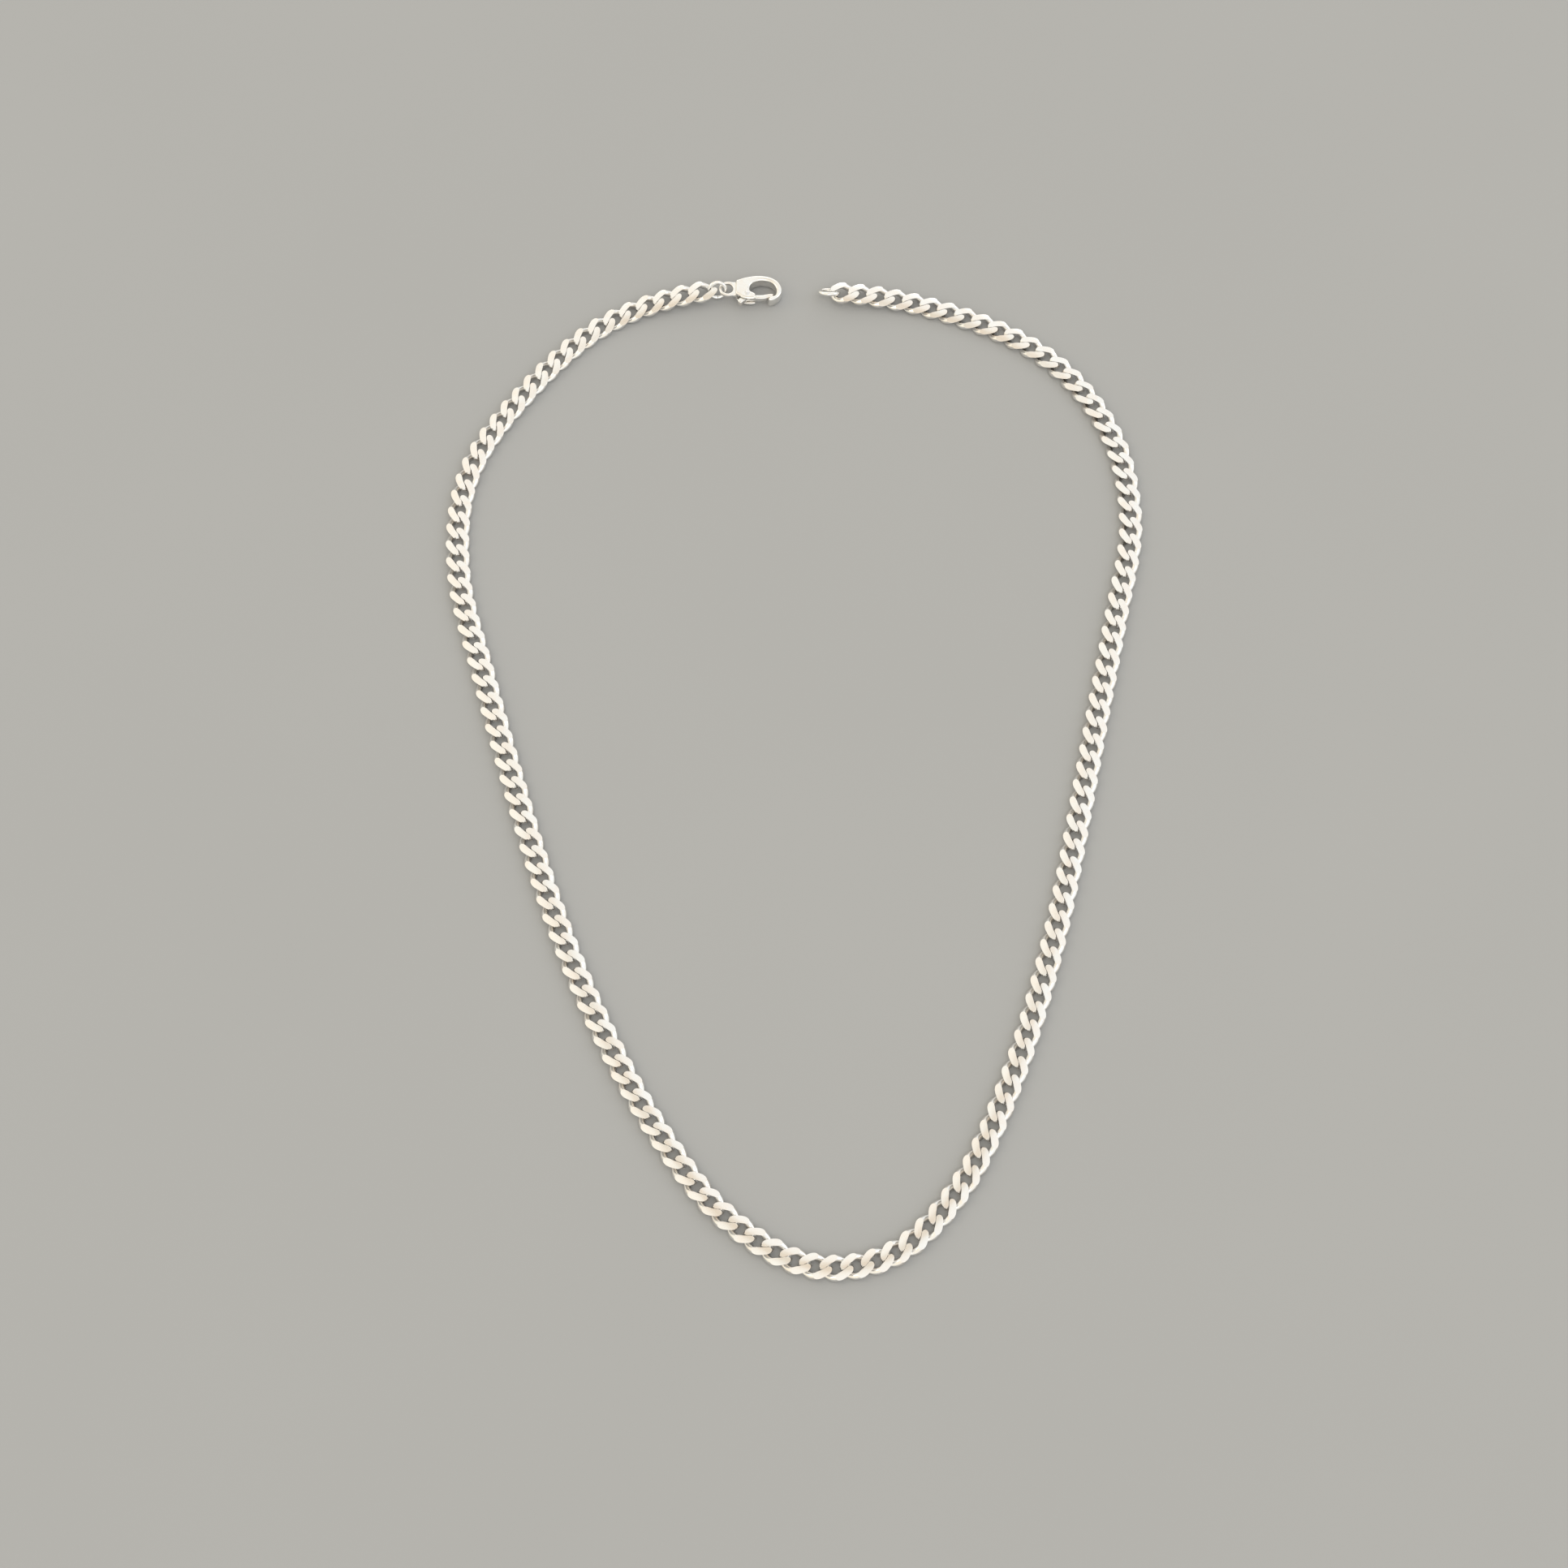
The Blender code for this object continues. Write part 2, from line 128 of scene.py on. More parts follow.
NUB_OUTLINE = (
    (-1.2, -0.9), (-1.9, -1.5), (-2.6, -2.7), (-2.35, -3.2), (-1.9, -3.3), (-1.55, -2.9), (-0.7, -2.1),
)
SLOT_OUTLINE = (
    (-2.3, -0.1), (-2.9, -1.9), (-3.1, -3.6), (1.2, -3.6), (1.2, -0.2), (-0.1, -0.1),
)
SLOT_HEIGHT = 1.45
PIVOT = (-0.9, -1.4)
PIN_RADIUS = 0.34
LEVER_THICKNESS = 1.2
GATE_ROUNDING = 0.25
NUB_ROUNDING = 0.2
# Parts of the lever are a little thinner than the lever, so that no two faces lie in one plane
NUB_THICKNESS = LEVER_THICKNESS * 0.98
HUB_THICKNESS = LEVER_THICKNESS * 0.96
GRIP_THICKNESS = LEVER_THICKNESS * 0.9
# Small rods that thicken the nub's rim
GRIPS = ((-2.56, -2.62), (-2.42, -2.98), (-2.1, -3.2))
GRIP_RADIUS = 0.13
HUB_RADIUS = 0.85
SHELF_RADIUS = 1.02
BODY_CLEARANCE = 0.03
LEVER_CLEARANCE = 0.04
ROD_SIDES = 48
RIVET_SIDES = 40
# Radius, and height above the clasp's face
RIVET_HEAD = ((0, 0.13), (0.2, 0.12), (0.38, 0.08), (0.5, 0.01), (0.52, -0.04), (PIN_RADIUS, -0.06))
SPRING_RADIUS = 0.6
SPRING_WIRE = 0.08
SPRING_TURNS = 1.25
SPRING_STEPS_PER_TURN = 40
SPRING_SIDES = 10
SPRING_HEIGHT = 0.25
SPRING_SHELF = 0.42


# The route, as the CAD has it

def smooth_loop(outline, steps):
    """Points on a closed Catmull-Rom curve through the outline."""
    points = []
    knots = [Vector(p) for p in outline]
    for i, start in enumerate(knots):
        before, after, beyond = knots[i - 1], knots[(i + 1) % len(knots)], knots[(i + 2) % len(knots)]
        for step in range(steps):
            t = step / steps
            points.append(0.5 * (
                2 * start + (after - before) * t
                + (2 * before - 5 * start + 4 * after - beyond) * t ** 2
                + (3 * start - before - 3 * after + beyond) * t ** 3
            ))
    return points


def route_points():
    """The route's points, closed, and the distance along it of each."""
    points = smooth_loop(ROUTE, STEPS_PER_SPAN)
    points.append(points[0])
    distances = [0.0]
    for a, b in zip(points, points[1:]):
        distances.append(distances[-1] + (b - a).length)
    return points, distances


def raised(route, distance, z):
    """The point at this distance along the route, at height z."""
    points, distances = route
    for i in range(1, len(points)):
        if distances[i] >= distance:
            share = (distance - distances[i - 1]) / (distances[i] - distances[i - 1])
            x, y = points[i - 1].lerp(points[i], share)
            return Vector((x, y, z))
    return Vector((*points[-1], z))


def height(from_end):
    """Height of the chain's middle at this distance from its end: it rises to its ring."""
    share = min(max(1 - from_end / END_RISE, 0), 1)
    return CHAIN_LEVEL + (END_HEIGHT - CHAIN_LEVEL) * share * share * (3 - 2 * share)


def aimed(start, end):
    """Frame with its origin at start and +X towards end; its +Y stays level."""
    x = (end - start).normalized()
    y = Vector((0, 0, 1)).cross(x).normalized()
    made = Matrix((x, y, x.cross(y))).transposed().to_4x4()
    made.translation = start
    return made


def places():
    """Route distances of the clasp's eye, the jump ring, the chain's two ends and the end ring."""
    eye = HOOK_START + NOSE_REACH - EYE_CENTRE
    jump_ring = eye + EYE_HOLE - EYE_CLEARANCE + JUMP_RING_RADIUS - JUMP_RING_WIRE
    first = jump_ring + JUMP_RING_RADIUS - JUMP_RING_WIRE - END_GAP / 2
    last = first + LINK_PITCH * LINKS_PER_RUN * RUN_COUNT
    end_ring = last + END_RING_RADIUS - END_RING_WIRE - END_GAP / 2
    return eye, jump_ring, first, end_ring


def link_frames(route, first):
    count = LINKS_PER_RUN * RUN_COUNT
    joints = [
        raised(route, first + i * LINK_PITCH, height(min(i, count - i) * LINK_PITCH))
        for i in range(count + 1)
    ]
    return [aimed(a, b) @ Matrix.Translation(((b - a).length / 2, 0, 0)) for a, b in zip(joints, joints[1:])]


def ring_frame(route, distance):
    made = aimed(raised(route, distance - 1, END_HEIGHT), raised(route, distance + 1, END_HEIGHT))
    made.translation = raised(route, distance, END_HEIGHT)
    return made


def clasp_frame(route, eye):
    eye_point = raised(route, eye, END_HEIGHT)
    level = aimed(eye_point, raised(route, HOOK_START, END_HEIGHT))
    return level @ Matrix.Rotation(CLASP_PITCH, 4, "Y") @ Matrix.Translation((-EYE_CENTRE, 0, 0))


# Mesh helpers, all in millimetres

def mesh_object(name, mesh):
    made = bpy.data.objects.new(name, mesh)
    bpy.context.scene.collection.objects.link(made)
    return made


def from_bmesh(name, bm):
    bmesh.ops.recalc_face_normals(bm, faces=bm.faces)
    mesh = bpy.data.meshes.new(name)
    bm.to_mesh(mesh)
    bm.free()
    return mesh_object(name, mesh)


def modifier(obj, kind, **settings):
    made = obj.modifiers.new(kind.lower(), kind)
    for name, value in settings.items():
        setattr(made, name, value)


def baked(obj, *helpers):
    """Replaces the object's mesh with its evaluated mesh, and removes the helpers."""
    bpy.context.view_layer.update()
    mesh = bpy.data.meshes.new_from_object(obj.evaluated_get(bpy.context.evaluated_depsgraph_get()))
    if obj.type == "MESH":
        obj.modifiers.clear()
        obj.data = mesh
        made = obj
    else:
        made = mesh_object(obj.name + "_mesh", mesh)
        bpy.data.objects.remove(obj)
    for helper in helpers:
        bpy.data.objects.remove(helper)
    return made


def welded(obj, distance=WELD):
    bm = bmesh.new()
    bm.from_mesh(obj.data)
    bmesh.ops.remove_doubles(bm, verts=bm.verts, dist=distance)
    bmesh.ops.recalc_face_normals(bm, faces=bm.faces)
    bm.to_mesh(obj.data)
    bm.free()
    return obj


def swept(name, centres, outwards, section, closed=True, widths=None):
    """A tube through the centres; each section point is (along outward, along the third axis). widths
    stretches each section outwards."""
    bm = bmesh.new()
    rings = []
    count = len(centres)
    for i, centre in enumerate(centres):
        before = centres[i - 1] if closed or i > 0 else centre
        after = centres[(i + 1) % count] if closed or i < count - 1 else centre
        tangent = (after - before).normalized()
        out = (outwards[i] - tangent * outwards[i].dot(tangent)).normalized()
        side = tangent.cross(out)
        width = widths[i] if widths else 1
        rings.append([bm.verts.new(centre + out * (u * width) + side * v) for u, v in section])
    size = len(section)
    for i in range(count if closed else count - 1):
        ring, following = rings[i], rings[(i + 1) % count]
        for k in range(size):
            bm.faces.new((ring[k], following[k], following[(k + 1) % size], ring[(k + 1) % size]))
    if not closed:
        bm.faces.new(rings[0])
        bm.faces.new(rings[-1])
    return from_bmesh(name, bm)


def circle(radius, sides):
    return [
        (radius * math.cos(2 * math.pi * k / sides), radius * math.sin(2 * math.pi * k / sides))
        for k in range(sides)
    ]


def box(name, low, high):
    low, high = Vector(low), Vector(high)
    bm = bmesh.new()
    bmesh.ops.create_cube(
        bm, size=1, matrix=Matrix.Translation((low + high) / 2) @ Matrix.Diagonal((*(high - low), 1))
    )
    return from_bmesh(name, bm)


def rod(name, radius, length, place):
    bm = bmesh.new()
    bmesh.ops.create_cone(
        bm, cap_ends=True, segments=ROD_SIDES, radius1=radius, radius2=radius, depth=length,
        matrix=Matrix.Translation((*place, 0)),
    )
    return from_bmesh(name, bm)


def plate(name, outline, thickness, rounding=0.0):
    """A flat piece from a closed outline, centred on z = 0, with its rims rounded off."""
    curve = bpy.data.curves.new(name, "CURVE")
    curve.dimensions = "2D"
    curve.fill_mode = "BOTH"
    curve.extrude = thickness / 2 - rounding
    curve.bevel_depth = rounding
    curve.bevel_resolution = 4
    curve.offset = -rounding
    spline = curve.splines.new("POLY")
    spline.points.add(len(outline) - 1)
    for point, (x, y) in zip(spline.points, outline):
        point.co = (x, y, 0, 1)
    spline.use_cyclic_u = True
    return welded(baked(mesh_object(name, curve)))


def in_metres(at):
    """The frame with its origin in metres."""
    made = at.copy()
    made.translation = at.translation * MM
    return made


def smooth(obj, angle=FITTING_SMOOTH_ANGLE):
    obj.data.shade_smooth()
    obj.data.set_sharp_from_angle(angle=angle)
    return obj


# Materials

# Noise scales, per metre
CLOUD_SCALE = 420
GRAIN_SCALE = 9000
PIT_SCALE = 1700
SCRATCHES_ACROSS = (26000, 2600, 9000)
SCRATCHES_ALONG = (2200, 30000, 9000)
NOISE_ROUGHNESS = 0.55
PIECE_SHIFT = 7.3
GRAIN_ROUGHNESS = 0.06
# Each of these fades in between its two levels, and has this much effect on the colour and the roughness
WARM_LEVELS = (0.35, 0.7)
PIT_LEVELS, PIT_DULLING, PIT_ROUGHNESS = (0.62, 0.75), 0.25, 0.06
# Inside a link the wire is darkened with painted shade in its hollow, partly standing for tarnish, and made
# rougher
HOLE_LEVELS, HOLE_PAINTED_SHADE, HOLE_ROUGHNESS = (0.45, 0.95), 0.4, 0.12
# The filed faces are warmed with a painted warm reflection, stronger on some links than on others
REFLECTION_LEVELS, REFLECTION_WARMING, FILED_ROUGHNESS = (0.2, 0.9), 0.45, 0.05
WAVE_DEPTH = 0.02 * MM
WAVE_STRENGTH = 0.35
SCRATCH_DEPTH = 0.006 * MM
SCRATCH_STRENGTH = 0.6
# Heights between which a link's surface turns from round wire to filed face
FILED_LEVEL = (0.66 * MM, 0.695 * MM)
# Name: bright tone, warm tone (also the painted warm reflection on a link's filed faces), darker tone for
# pits and for the painted shade inside a link, roughness, and whether it is a link's filed wire
METALS = {
    "chain_silver": ((0.95, 0.945, 0.93, 1), (0.95, 0.90, 0.85, 1), (0.42, 0.41, 0.40, 1), 0.18, True),
    "cast_silver": ((0.93, 0.925, 0.91, 1), (0.92, 0.88, 0.83, 1), (0.45, 0.44, 0.42, 1), 0.17, False),
    "wire_silver": ((0.94, 0.935, 0.92, 1), (0.93, 0.89, 0.84, 1), (0.5, 0.49, 0.47, 1), 0.14, False),
    "rivet": ((0.82, 0.82, 0.83, 1), (0.78, 0.76, 0.74, 1), (0.4, 0.4, 0.4, 1), 0.24, False),
    "spring_wire": ((0.55, 0.55, 0.57, 1), (0.5, 0.48, 0.46, 1), (0.3, 0.3, 0.3, 1), 0.35, False),
}


class Nodes:
    """A short way to write the node tree of a material or a world."""

    def __init__(self, owner):
        owner.use_nodes = True
        self.owner = owner
        self.tree = owner.node_tree

    def add(self, kind, inputs=(), **settings):
        node = self.tree.nodes.new(kind)
        for key, value in settings.items():
            setattr(node, key, value)
        for key, value in dict(inputs).items():
            self.feed(node.inputs[key], value)
        return node

    def feed(self, socket, value):
        if isinstance(value, bpy.types.NodeSocket):
            self.tree.links.new(value, socket)
        else:
            socket.default_value = value

    def math(self, operation, *values):
        node = self.add("ShaderNodeMath", dict(enumerate(values)), operation=operation)
        return node.outputs[0]

    def ramp(self, value, low, high):
        """0 below low, 1 above high, smooth between."""
        node = self.add("ShaderNodeMapRange", {0: value, 1: low, 2: high}, interpolation_type="SMOOTHSTEP")
        return node.outputs[0]

    def mix(self, share, a, b, blend="MIX"):
        node = self.add("ShaderNodeMix", data_type="RGBA", blend_type=blend)
        self.feed(node.inputs[0], share)
        self.feed(node.inputs[6], a)
        self.feed(node.inputs[7], b)
        return node.outputs[2]

    def noise(self, vector, scale, detail):
        inputs = {"Vector": vector, "Scale": scale, "Detail": detail, "Roughness": NOISE_ROUGHNESS}
        return self.add("ShaderNodeTexNoise", inputs).outputs["Fac"]

    def scaled(self, vector, scale):
        return self.add("ShaderNodeMapping", {"Vector": vector, "Scale": scale}).outputs[0]

    def bump(self, level, distance, strength, normal=None):
        inputs = {"Height": level, "Distance": distance, "Strength": strength}
        if normal is not None:
            inputs["Normal"] = normal
        return self.add("ShaderNodeBump", inputs).outputs[0]


def metal(name):
    """Polished metal with fine scratches. A link's filed faces carry a painted warm reflection, stronger on
    some links than on others, and the wire inside the link is rougher and darkened with painted shade,
    partly standing for tarnish. Castings and rings have small pits of duller metal."""
    bright, warm, dull_and_shade, roughness, filed = METALS[name]
    n = Nodes(bpy.data.materials.new(name))
    shader = n.tree.nodes["Principled BSDF"]
    where = n.add("ShaderNodeTexCoord").outputs["Object"]
    chance = n.add("ShaderNodeObjectInfo").outputs["Random"]
    shift = n.add("ShaderNodeCombineXYZ", {0: chance, 1: n.math("MULTIPLY", chance, PIECE_SHIFT), 2: chance})
    moved = n.add("ShaderNodeVectorMath", {0: where, 1: shift.outputs[0]}, operation="ADD").outputs[0]
    cloud = n.noise(moved, CLOUD_SCALE, detail=2)
    grain = n.noise(moved, GRAIN_SCALE, detail=4)
    scratches = n.noise(n.scaled(moved, SCRATCHES_ACROSS), 1, detail=2)
    other_way = n.noise(n.scaled(moved, SCRATCHES_ALONG), 1, detail=1)

    colour = n.mix(n.ramp(cloud, *WARM_LEVELS), bright, warm)
    rough = n.math("MULTIPLY_ADD", grain, GRAIN_ROUGHNESS, roughness - GRAIN_ROUGHNESS / 2)
    relief = n.math("ADD", n.math("MULTIPLY", scratches, 0.5), n.math("MULTIPLY", other_way, 0.35))
    if filed:
        x, y, z = n.add("ShaderNodeSeparateXYZ", {0: where}).outputs
        crown = n.math("DIVIDE", n.math("MULTIPLY", y, y), 2 * CROWN_RADIUS * MM)
        face = n.ramp(n.math("ADD", n.math("ABSOLUTE", z), crown), *FILED_LEVEL)
        across = n.math("POWER", n.math("DIVIDE", y, HALF_WIDTH * MM), 2.0)
        lengthwise = n.math("POWER", n.math("DIVIDE", x, HALF_LENGTH * MM), 2.0)
        hole = n.math("SUBTRACT", 1.0, n.ramp(n.math("ADD", across, lengthwise), *HOLE_LEVELS))
        shaded = n.math("MULTIPLY", hole, n.math("SUBTRACT", 1.0, face))
        # Painted shade: the wire inside the link, away from the filed faces, is darkened, partly standing
        # for tarnish
        colour = n.mix(n.math("MULTIPLY", shaded, HOLE_PAINTED_SHADE), colour, dull_and_shade)
        # Painted warm reflection on the filed faces, stronger on some links than on others
        face_reflection = n.math("MULTIPLY", face, n.ramp(chance, *REFLECTION_LEVELS))
        colour = n.mix(n.math("MULTIPLY", face_reflection, REFLECTION_WARMING), colour, warm)
        rough = n.math("ADD", rough, n.math("MULTIPLY", face, FILED_ROUGHNESS))
        rough = n.math("ADD", rough, n.math("MULTIPLY", shaded, HOLE_ROUGHNESS))
    else:
        pits = n.ramp(n.noise(moved, PIT_SCALE, detail=3), *PIT_LEVELS)
        colour = n.mix(n.math("MULTIPLY", pits, PIT_DULLING), colour, dull_and_shade)
        rough = n.math("ADD", rough, n.math("MULTIPLY", pits, PIT_ROUGHNESS))
    n.feed(shader.inputs["Base Color"], colour)
    n.feed(shader.inputs["Roughness"], rough)
    shader.inputs["Metallic"].default_value = 1.0
    waviness = n.bump(cloud, WAVE_DEPTH, WAVE_STRENGTH)
    n.feed(shader.inputs["Normal"], n.bump(relief, SCRATCH_DEPTH, SCRATCH_STRENGTH, waviness))
    return n.owner


# The links

def crowned_slab():
    """The space between the two filed faces, which fall away a little towards the chain's edges."""
    ys = [SLAB_REACH * (2 * i / SLAB_STRIPS - 1) for i in range(SLAB_STRIPS + 1)]
    upper = [(y, CHAIN_THICKNESS / 2 - y * y / (2 * CROWN_RADIUS)) for y in ys]
    bm = bmesh.new()
    outline = [bm.verts.new((-SLAB_REACH, y, z)) for y, z in upper]
    outline += [bm.verts.new((-SLAB_REACH, y, -z)) for y, z in reversed(upper)]
    end = bm.faces.new(outline)
    grown = bmesh.ops.extrude_face_region(bm, geom=[end])
    moved = [v for v in grown["geom"] if isinstance(v, bmesh.types.BMVert)]
    bmesh.ops.translate(bm, verts=moved, vec=(2 * SLAB_REACH, 0, 0))
    return from_bmesh("slab", bm)


def link_mesh(material):
    """A closed loop of wire that is rolled from one end to the other and filed flat on both faces. The wire
    is round at the ends and a little wider along the sides."""
    centres, outwards, widths = [], [], []
    for i in range(LINK_STATIONS):
        t = 2 * math.pi * (i + 0.5) / LINK_STATIONS
        roll = TWIST * math.cos(t)
        widths.append(1 + SIDE_SPREAD * abs(math.sin(t)) ** 3)
        centres.append(Vector((
            HALF_LENGTH * math.cos(t),
            HALF_WIDTH * math.sin(t) * math.cos(roll),
            HALF_WIDTH * math.sin(t) * math.sin(roll),
        )))
        outwards.append(Vector((HALF_WIDTH * math.cos(t), HALF_LENGTH * math.sin(t), 0)))
    link = swept("link", centres, outwards, circle(WIRE / 2, WIRE_SIDES), widths=widths)
    slab = crowned_slab()
    modifier(link, "BOOLEAN", operation="INTERSECT", solver="EXACT", object=slab)
    link = baked(link, slab)
    welded(link, SLIVER)
    modifier(
        link, "BEVEL", width=EDGE_ROUNDING, segments=2, limit_method="ANGLE",
        angle_limit=EDGE_ANGLE, miter_outer="MITER_ARC", use_clamp_overlap=True,
    )
    link = baked(link)
    welded(link, SLIVER / 2)
    smooth(link, SMOOTH_ANGLE)
    modifier(link, "WEIGHTED_NORMAL", weight=FLAT_WEIGHT, keep_sharp=True)
    link = baked(link)
    link.data.transform(Matrix.Scale(MM, 4))
    link.data.materials.append(material)
    mesh = link.data
    bpy.data.objects.remove(link)
    return mesh


def build_chain(frames, material):
    mesh = link_mesh(material)
    chance = random.Random(PLAY_SEED)
    for i, at in enumerate(frames):
        name = f"chain_run_{i // LINKS_PER_RUN + 1:02d}"
        link = mesh_object(f"link_{i + 1:03d}", mesh)
        link.matrix_world = in_metres(at @ Matrix.Rotation(chance.uniform(-LINK_PLAY, LINK_PLAY), 4, "X"))
        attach(link, name)
        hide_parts(name)


# The rings

def wire_ring(name, radius, wire, seam):
    """A ring of round wire. Its ends meet at a butt seam on the ring's side, or are soldered shut."""
    gap = SEAM_GAP / radius if seam else 0.0
    centres = []
    spans = RING_STEPS - 1 if seam else RING_STEPS
    for i in range(RING_STEPS):
        turn = math.pi / 2 + gap / 2 + (2 * math.pi - gap) * i / spans
        centres.append(Vector((radius * math.cos(turn), radius * math.sin(turn), 0)))
    ring = swept(name, centres, [c.copy() for c in centres], circle(wire, RING_SIDES), closed=not seam)
    if seam:
        modifier(
            ring, "BEVEL", width=SEAM_ROUNDING, segments=2, limit_method="ANGLE", angle_limit=SEAM_ANGLE,
        )
    else:
        for vertex in ring.data.vertices:
            turn = math.atan2(vertex.co.y, vertex.co.x) - math.pi / 2
            swell = 1 + SOLDER_SWELL * math.exp(-(turn / SOLDER_SPREAD) ** 2)
            middle = Vector((vertex.co.x, vertex.co.y, 0)).normalized() * radius
            vertex.co = middle + (vertex.co - middle) * swell
    return baked(ring)


# The clasp

def cast(obj, voxel, rounds):
    """Gives a piece the soft edges of a casting."""
    modifier(obj, "REMESH", mode="VOXEL", voxel_size=voxel)
    modifier(obj, "SMOOTH", factor=CAST_SMOOTHING, iterations=rounds)
    made = baked(obj)
    made.data.shade_smooth()
    return made


def cut(obj, operation, *others):
    for other in others:
        modifier(obj, "BOOLEAN", operation=operation, solver="EXACT", object=other)
    return baked(obj, *others)


def build_clasp_body():
    body = plate("body", smooth_loop(BODY_OUTLINE, OUTLINE_STEPS), CLASP_THICKNESS, CLASP_ROUNDING)
    low, high = EYE_CENTRE - 2 * EYE_RADIUS, EYE_CENTRE + EYE_RADIUS
    above = box("above", (low, -CLASP_REACH, EYE_THICKNESS / 2), (high, CLASP_REACH, CLASP_THICKNESS))
    below = box("below", (low, -CLASP_REACH, -CLASP_THICKNESS), (high, CLASP_REACH, -EYE_THICKNESS / 2))
    eye = rod("eye", EYE_HOLE, CLASP_THICKNESS * 2, (EYE_CENTRE, 0))
    slot = plate("slot", SLOT_OUTLINE, SLOT_HEIGHT)
    bore = rod("bore", PIN_RADIUS + BODY_CLEARANCE, CLASP_THICKNESS * 2, PIVOT)
    body = cut(body, "DIFFERENCE", above, below, eye, slot, bore)
    return cast(body, *BODY_CAST)


def build_lever():
    lever = plate("lever", smooth_loop(GATE_OUTLINE, OUTLINE_STEPS), LEVER_THICKNESS, GATE_ROUNDING)
    nub = plate("nub", smooth_loop(NUB_OUTLINE, OUTLINE_STEPS), NUB_THICKNESS, NUB_ROUNDING)
    hub = rod("hub", HUB_RADIUS, HUB_THICKNESS, PIVOT)
    grips = [rod(f"grip_{i}", GRIP_RADIUS, GRIP_THICKNESS, place) for i, place in enumerate(GRIPS)]
    lever = cut(lever, "UNION", nub, hub, *grips)
    bore = rod("bore", PIN_RADIUS + LEVER_CLEARANCE, CLASP_THICKNESS * 2, PIVOT)
    shelf = rod("shelf", SHELF_RADIUS, LEVER_THICKNESS, PIVOT)
    shelf.location.z = LEVER_THICKNESS / 4 + SPRING_SHELF
    lever = cut(lever, "DIFFERENCE", bore, shelf)
    return cast(lever, *LEVER_CAST)


def build_pin():
    """A rivet: a shaft with a low domed head on each side of the clasp."""
    profile = [(r, CLASP_THICKNESS / 2 + z) for r, z in RIVET_HEAD]
    profile += [(r, -z) for r, z in reversed(profile)]
    (_, height_above), *between, (_, height_below) = profile
    x, y = PIVOT
    bm = bmesh.new()
    top = bm.verts.new((x, y, height_above))
    bottom = bm.verts.new((x, y, height_below))
    rings = [[bm.verts.new((x + u, y + v, z)) for u, v in circle(r, RIVET_SIDES)] for r, z in between]
    for k in range(RIVET_SIDES):
        following = (k + 1) % RIVET_SIDES
        bm.faces.new((top, rings[0][k], rings[0][following]))
        for upper, lower in zip(rings, rings[1:]):
            bm.faces.new((upper[k], lower[k], lower[following], upper[following]))
        bm.faces.new((rings[-1][k], bottom, rings[-1][following]))
    return from_bmesh("pin", bm)


def build_spring():
    steps = round(SPRING_TURNS * SPRING_STEPS_PER_TURN)
    centres, outwards = [], []
    for i in range(steps + 1):
        turn = 2 * math.pi * SPRING_TURNS * i / steps
        out = Vector((math.cos(turn), math.sin(turn), 0))
        level = SPRING_SHELF + SPRING_HEIGHT * (i / steps - 0.5)
        centres.append(Vector((*PIVOT, level)) + out * SPRING_RADIUS)
        outwards.append(out)
    return swept("spring", centres, outwards, circle(SPRING_WIRE, SPRING_SIDES), closed=False)


def fit(piece, name, at, body, node, material):
    """Finishes a fitting: its name, its place in metres, its material and what it stands for."""
    piece.name = name
    piece.data.name = name
    piece.data.transform(Matrix.Scale(MM, 4))
    piece.data.materials.clear()
    piece.data.materials.append(material)
    piece.matrix_world = in_metres(at)
    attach(piece, body)
    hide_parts(node)


def build_rings(route, material):
    _, jump_ring, _, end_ring = places()
    ring = smooth(wire_ring("jump", JUMP_RING_RADIUS, JUMP_RING_WIRE, seam=True))
    at = ring_frame(route, jump_ring) @ Matrix.Rotation(JUMP_RING_ROLL, 4, "X")
    fit(ring, "jump_ring_wire", at, "jump_ring", "jump_ring", material)
    ring = smooth(wire_ring("end", END_RING_RADIUS, END_RING_WIRE, seam=False))
    at = ring_frame(route, end_ring) @ Matrix.Rotation(END_RING_ROLL, 4, "X")
    fit(ring, "end_ring_wire", at, "end_ring", "end_ring", material)


def build_clasp(route, metals):
    at = clasp_frame(route, places()[0])
    silver, rivet, steel = (metals[name] for name in ("cast_silver", "rivet", "spring_wire"))
    fit(build_clasp_body(), "clasp_casting", at, "clasp", "clasp_body", silver)
    fit(build_lever(), "clasp_gate", at, "clasp_lever", "clasp_lever", silver)
    fit(smooth(build_pin()), "clasp_rivet", at, "clasp", "clasp_pivot_pin", rivet)
    fit(smooth(build_spring()), "clasp_coil", at, "clasp", "clasp_spring", steel)


# Floor, light and camera. Lengths are in metres from here on.

FLOOR_REACH = 20
FLOOR_TONES = ((0.395, 0.395, 0.395, 1), (0.41, 0.41, 0.41, 1))
FLOOR_MOTTLE_SCALE = 14
FLOOR_ROUGHNESS = 0.85
# Name: place, size, brightness of its face (1 is white) and colour
SOFTBOXES = {
    "front": ((0.15, -0.9, 1.0), (0.9, 0.3), 1.2, (1, 1, 1)),
    "left": ((-1.1, 0.2, 0.8), (0.8, 0.35), 1.2, (1, 0.98, 0.92)),
    "right": ((1.1, 0.1, 0.6), (0.8, 0.35), 1.0, (0.97, 0.99, 1)),
    "back": ((0.1, 1.2, 0.55), (0.9, 0.25), 1.2, (1, 1, 1)),
}
# The room's colour by the sine of the height angle
ROOM = (
    (0.0, (0.82, 0.81, 0.78)), (0.12, (0.96, 0.95, 0.91)),
    (0.5, (0.99, 0.975, 0.93)), (0.9, (1.03, 1.01, 0.96)),
)
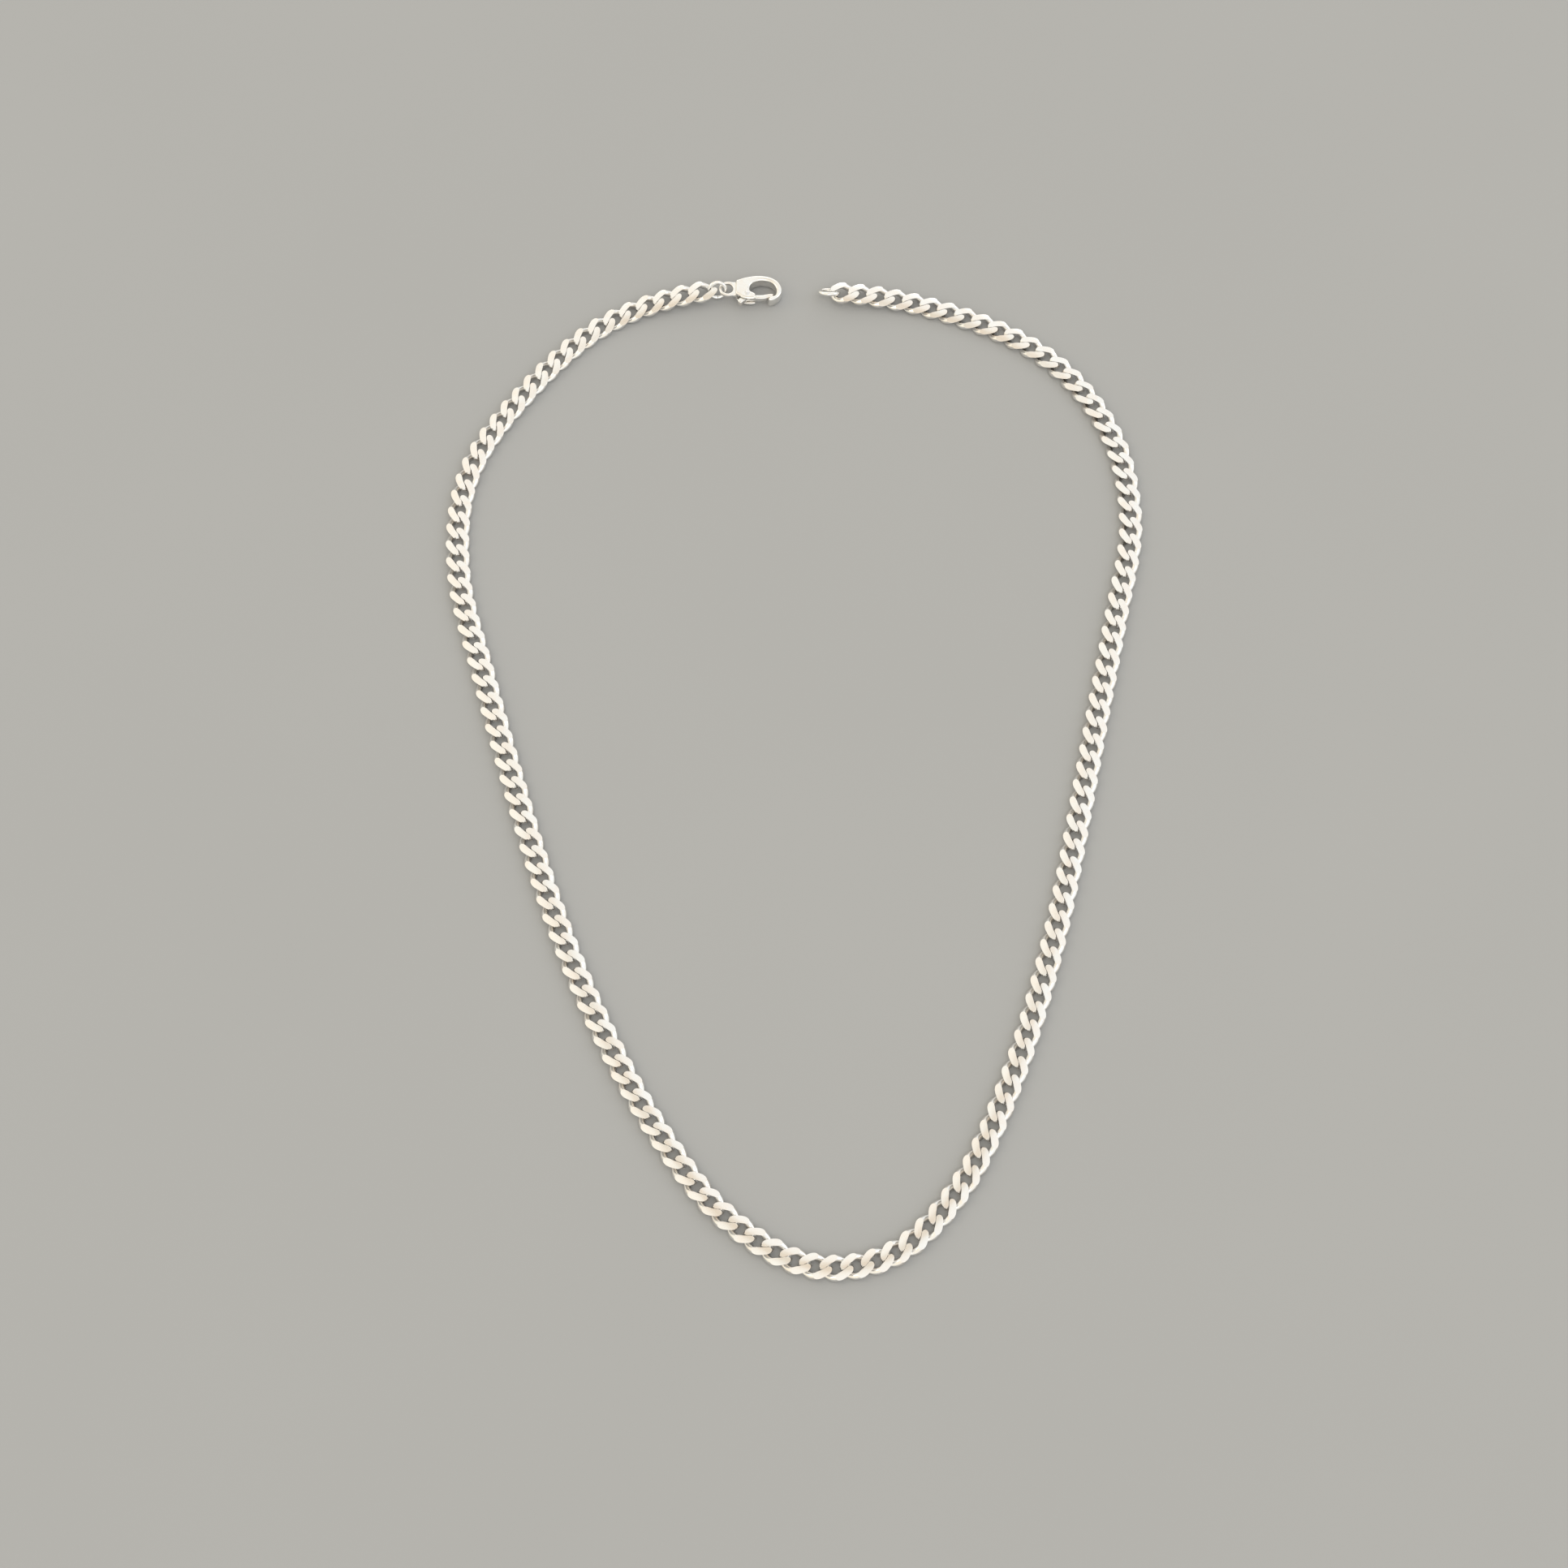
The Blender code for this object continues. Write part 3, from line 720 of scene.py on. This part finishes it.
# Tints of the left and right of the room, and where across it one turns into the other
LEFT_TINT = (1.06, 1.0, 0.87, 1)
RIGHT_TINT = (0.98, 1.0, 1.02, 1)
TINT_TURN = (-0.9, 0.3)
# The dimmer patch of ceiling: its colour, its height angle, and how far from its middle it fades
CEILING = (0.74, 0.63, 0.48, 1)
CEILING_PATCH = math.radians(78)
PATCH_CORE = math.radians(5)
PATCH_EDGE = math.radians(13)
CAMERA_TARGET = Vector((-0.002, -0.008, 0))
CAMERA_ELEVATION = math.radians(66)
CAMERA_DISTANCE = 0.5


def plain_floor():
    n = Nodes(bpy.data.materials.new("pale_floor"))
    shader = n.tree.nodes["Principled BSDF"]
    where = n.add("ShaderNodeTexCoord").outputs["Object"]
    n.feed(shader.inputs["Base Color"], n.mix(n.noise(where, FLOOR_MOTTLE_SCALE, detail=2), *FLOOR_TONES))
    shader.inputs["Roughness"].default_value = FLOOR_ROUGHNESS
    bm = bmesh.new()
    bmesh.ops.create_grid(bm, x_segments=1, y_segments=1, size=FLOOR_REACH)
    floor = from_bmesh("floor", bm)
    floor.data.materials.append(n.owner)


def softbox(name):
    """A rectangular light that faces the middle of the scene."""
    place, size, brightness, colour = SOFTBOXES[name]
    light = bpy.data.lights.new(name, "AREA")
    light.shape = "RECTANGLE"
    light.size, light.size_y = size
    light.energy = brightness * math.pi * size[0] * size[1]
    light.color = colour
    made = bpy.data.objects.new(name, light)
    bpy.context.scene.collection.objects.link(made)
    made.location = place
    made.rotation_euler = (-Vector(place)).to_track_quat("-Z", "Y").to_euler()


def studio_room():
    """A pale room, warmer on the left and cooler on the right, with a dimmer and warmer patch of ceiling."""
    world = bpy.data.worlds.new("studio")
    bpy.context.scene.world = world
    n = Nodes(world)
    direction = n.add("ShaderNodeTexCoord").outputs["Generated"]
    x, _, z = n.add("ShaderNodeSeparateXYZ", {0: direction}).outputs

    room = n.add("ShaderNodeValToRGB", {0: z})
    room.color_ramp.interpolation = "EASE"
    while len(room.color_ramp.elements) < len(ROOM):
        room.color_ramp.elements.new(1)
    for element, (place, colour) in zip(room.color_ramp.elements, ROOM):
        element.position = place
        element.color = (*colour, 1)

    across = n.add("ShaderNodeMapRange", {0: x, 1: TINT_TURN[0], 2: TINT_TURN[1]}).outputs[0]
    sides = n.add("ShaderNodeValToRGB", {0: across})
    sides.color_ramp.elements[0].color = LEFT_TINT
    sides.color_ramp.elements[1].color = RIGHT_TINT
    walls = n.mix(1.0, room.outputs[0], sides.outputs[0], blend="MULTIPLY")

    towards = (0, math.cos(CEILING_PATCH), math.sin(CEILING_PATCH))
    aim = n.add("ShaderNodeVectorMath", {0: direction, 1: towards}, operation="DOT_PRODUCT")
    patch = n.ramp(aim.outputs["Value"], math.cos(PATCH_EDGE), math.cos(PATCH_CORE))
    n.feed(n.tree.nodes["Background"].inputs[0], n.mix(patch, walls, CEILING))


def light_scene():
    studio_room()
    for name in SOFTBOXES:
        softbox(name)
    bpy.context.scene.view_settings.view_transform = "Standard"


def add_camera():
    back = Vector((0, -math.cos(CAMERA_ELEVATION), math.sin(CAMERA_ELEVATION)))
    camera = bpy.data.cameras.new("camera")
    camera.lens = 64
    camera.sensor_width = 36
    camera.clip_start = 0.01
    made = bpy.data.objects.new("camera", camera)
    bpy.context.scene.collection.objects.link(made)
    made.location = CAMERA_TARGET + back * CAMERA_DISTANCE
    made.rotation_euler = (-back).to_track_quat("-Z", "Y").to_euler()
    bpy.context.scene.camera = made


def main():
    metals = {name: metal(name) for name in METALS}
    route = route_points()
    build_chain(link_frames(route, places()[2]), metals["chain_silver"])
    build_rings(route, metals["wire_silver"])
    build_clasp(route, metals)
    plain_floor()
    light_scene()
    add_camera()


main()
